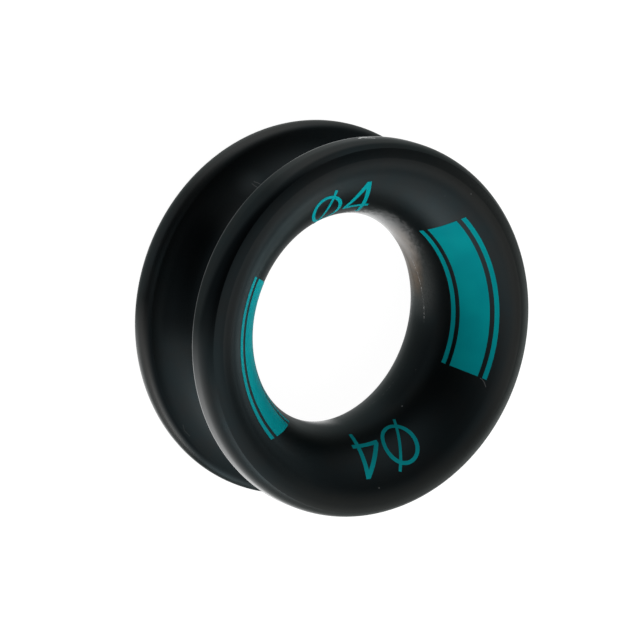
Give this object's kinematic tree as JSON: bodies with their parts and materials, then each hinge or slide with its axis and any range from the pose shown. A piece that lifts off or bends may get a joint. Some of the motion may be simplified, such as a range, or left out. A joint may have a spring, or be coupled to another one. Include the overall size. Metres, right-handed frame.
{
  "type": "low friction ring",
  "caption": "One-piece turned ring with a trumpet-shaped hole and a half-round rope groove round the outside, so a line runs through it and turns with little friction.",
  "frame": {"origin": "the ring's centre, on its axis at half width", "axes": "+Z along the ring's axis, towards the printed face, which is up when the ring lies on its end; +X and +Y across the ring, with the printed size marks near +X and -X and the printed bars near +Y and -Y"},
  "size_m": [0.016, 0.016, 0.0066],
  "materials": {
    "anodised_metal": "black hard anodising, satin, with fine turning marks round the ring",
    "printed_marks": "thin teal ink, slightly matt"
  },
  "bodies": {
    "root": {"ring": "anodised_metal"}
  },
  "joints": []
}
